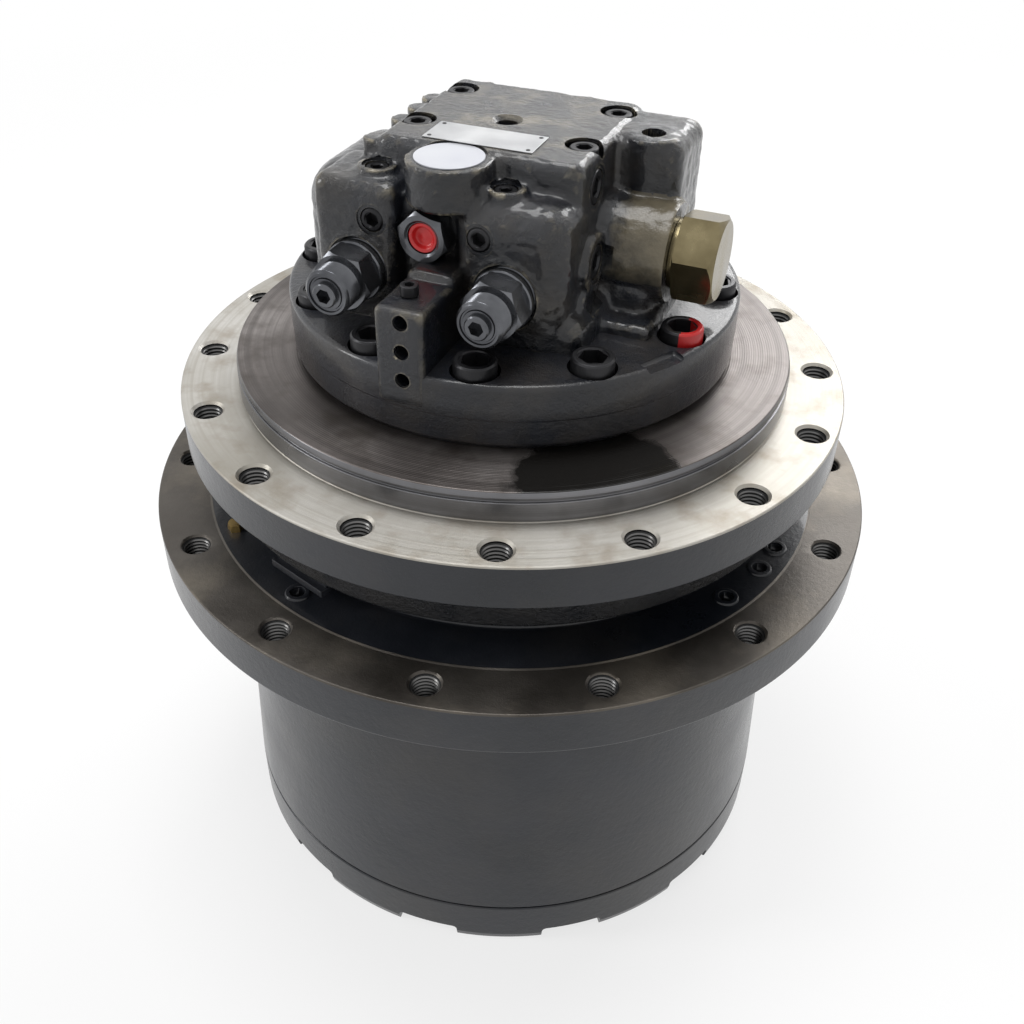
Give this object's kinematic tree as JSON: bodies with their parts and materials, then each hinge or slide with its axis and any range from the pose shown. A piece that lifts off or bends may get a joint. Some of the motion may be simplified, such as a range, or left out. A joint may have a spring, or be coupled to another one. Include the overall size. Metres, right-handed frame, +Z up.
{
  "type": "excavator final drive",
  "caption": "Excavator final drive on its end cover: geared hub drum with sprocket flange, fixed spindle with frame flange, and the hydraulic travel motor's port block on top.",
  "frame": {"origin": "on the drive's axis, in the plane of the end cover's lugs that the unit stands on", "axes": "+Z up along the drive's axis from end cover to port block, +X towards the hexagon plug of the counterbalance valve, -Y towards the relief valves"},
  "size_m": [0.468, 0.468, 0.5052],
  "materials": {
    "hub_paint": "satin dark paint over cast iron",
    "cover_paint": "satin dark paint over cast iron",
    "spindle_steel": "turned grey iron, lightly stained",
    "port_block_paint": "glossy dark blue-black paint over a rough casting",
    "screw_steel": "black oxide",
    "flush_plug_steel": "black oxide",
    "plug_steel": "plain steel",
    "valve_steel": "dark phosphated steel",
    "zinc_plating": "olive zinc plating",
    "fitting_steel": "dark phosphated steel",
    "plug_plastic": "red moulded plastic",
    "plate_aluminium": "bare satin sheet",
    "race_steel": "ground",
    "seal_steel": "lapped",
    "gear_steel": "case hardened",
    "planet_1_steel": "case hardened",
    "planet_2_steel": "case hardened",
    "carrier_steel": "as cast",
    "shaft_steel": "ground",
    "cylinder_steel": "machined",
    "valve_plate_bronze": "lapped bronze",
    "friction_lining": "paper based friction lining",
    "brake_steel": "machined",
    "spool_steel": "ground"
  },
  "bodies": {
    "spindle": {"spindle": "spindle_steel", "port_block": "port_block_paint", "flange_bolt_01": "screw_steel", "flange_bolt_02": "screw_steel", "flange_bolt_03": "screw_steel", "flange_bolt_04": "screw_steel", "flange_bolt_05": "screw_steel", "flange_bolt_06": "screw_steel", "flange_bolt_07": "screw_steel", "flange_bolt_08": "screw_steel", "flange_bolt_09": "screw_steel", "flange_bolt_10": "screw_steel", "flange_bolt_11": "screw_steel", "flange_bolt_12": "screw_steel", "block_screw_1": "screw_steel", "block_screw_2": "screw_steel", "block_screw_3": "screw_steel", "block_screw_4": "screw_steel", "gauge_plug_left": "flush_plug_steel", "gauge_plug_right": "flush_plug_steel", "shoulder_plug_left": "flush_plug_steel", "shoulder_plug_right": "flush_plug_steel", "side_plug_lower": "flush_plug_steel", "side_plug_upper": "flush_plug_steel", "port_fitting": "fitting_steel", "port_plug": "plug_plastic", "relief_valve_left": "valve_steel", "relief_valve_right": "valve_steel", "counterbalance_plug": "zinc_plating", "nameplate": "plate_aluminium", "tab_screw": "screw_steel", "valve_plate": "valve_plate_bronze", "bearing_cone_lower": "race_steel", "bearing_cone_upper": "race_steel", "seal_ring_upper": "seal_steel", "carrier_2": "carrier_steel", "brake_spring": "brake_steel"},
    "hub": {"hub": "hub_paint", "end_cover": "cover_paint", "drain_plug": "plug_steel", "bearing_cup_lower": "race_steel", "bearing_cup_upper": "race_steel", "seal_ring_lower": "seal_steel"},
    "carrier_1": {"carrier_1": "carrier_steel", "sun_gear_2": "gear_steel"},
    "motor": {"motor_shaft": "shaft_steel", "sun_gear_1": "shaft_steel", "cylinder_block": "cylinder_steel", "piston_set": "shaft_steel", "brake_disc": "friction_lining"},
    "brake_piston": {"brake_piston": "brake_steel"},
    "spool": {"counterbalance_spool": "spool_steel"},
    "swash": {"swash_plate": "cylinder_steel"},
    "planet_1_1": {"planet_1_1": "planet_1_steel"},
    "planet_1_2": {"planet_1_2": "planet_1_steel"},
    "planet_1_3": {"planet_1_3": "planet_1_steel"},
    "planet_2_1": {"planet_2_1": "planet_2_steel"},
    "planet_2_2": {"planet_2_2": "planet_2_steel"},
    "planet_2_3": {"planet_2_3": "planet_2_steel"}
  },
  "joints": [
    {"name": "hub_spin", "type": "hinge", "parent": "spindle", "child": "hub", "pos_m": [0, 0, 0.2], "axis": [0, 0, 1], "continuous": true},
    {"name": "carrier_1_spin", "type": "hinge", "parent": "spindle", "child": "carrier_1", "pos_m": [0, 0, 0.086], "axis": [0, 0, 1], "continuous": true},
    {"name": "planet_1_1_spin", "type": "hinge", "parent": "carrier_1", "child": "planet_1_1", "pos_m": [0.09818, 0, 0.0625], "axis": [0, 0, 1], "continuous": true},
    {"name": "planet_1_2_spin", "type": "hinge", "parent": "carrier_1", "child": "planet_1_2", "pos_m": [-0.04909, 0.08503, 0.0625], "axis": [0, 0, 1], "continuous": true},
    {"name": "planet_1_3_spin", "type": "hinge", "parent": "carrier_1", "child": "planet_1_3", "pos_m": [-0.04909, -0.08503, 0.0625], "axis": [0, 0, 1], "continuous": true},
    {"name": "planet_2_1_spin", "type": "hinge", "parent": "spindle", "child": "planet_2_1", "pos_m": [0.10711, 0, 0.123], "axis": [0, 0, 1], "continuous": true},
    {"name": "planet_2_2_spin", "type": "hinge", "parent": "spindle", "child": "planet_2_2", "pos_m": [-0.05355, 0.09276, 0.123], "axis": [0, 0, 1], "continuous": true},
    {"name": "planet_2_3_spin", "type": "hinge", "parent": "spindle", "child": "planet_2_3", "pos_m": [-0.05355, -0.09276, 0.123], "axis": [0, 0, 1], "continuous": true},
    {"name": "motor_spin", "type": "hinge", "parent": "spindle", "child": "motor", "pos_m": [0, 0, 0.3], "axis": [0, 0, 1], "continuous": true},
    {"name": "brake_release", "type": "slide", "parent": "spindle", "child": "brake_piston", "axis": [0, 0, 1], "range_m": [0, 0.0025], "stiffness_N_per_m": 20000, "springref_m": -0.01, "deforming": ["brake_spring"]},
    {"name": "spool_slide", "type": "slide", "parent": "spindle", "child": "spool", "axis": [1, 0, 0], "range_m": [-0.006, 0.006], "stiffness_N_per_m": 2500},
    {"name": "swash_tilt", "type": "hinge", "parent": "spindle", "child": "swash", "pos_m": [0, 0, 0.27085], "axis": [1, 0, 0], "range_deg": [-6, 0]}
  ],
  "couplings": [
    {"joint": "carrier_1_spin", "follows": "hub_spin", "ratio": -3},
    {"joint": "planet_1_1_spin", "follows": "hub_spin", "ratio": 10.286},
    {"joint": "planet_1_2_spin", "follows": "hub_spin", "ratio": 10.286},
    {"joint": "planet_1_3_spin", "follows": "hub_spin", "ratio": 10.286},
    {"joint": "planet_2_1_spin", "follows": "hub_spin", "ratio": 3},
    {"joint": "planet_2_2_spin", "follows": "hub_spin", "ratio": 3},
    {"joint": "planet_2_3_spin", "follows": "hub_spin", "ratio": 3},
    {"joint": "motor_spin", "follows": "hub_spin", "ratio": -21}
  ]
}
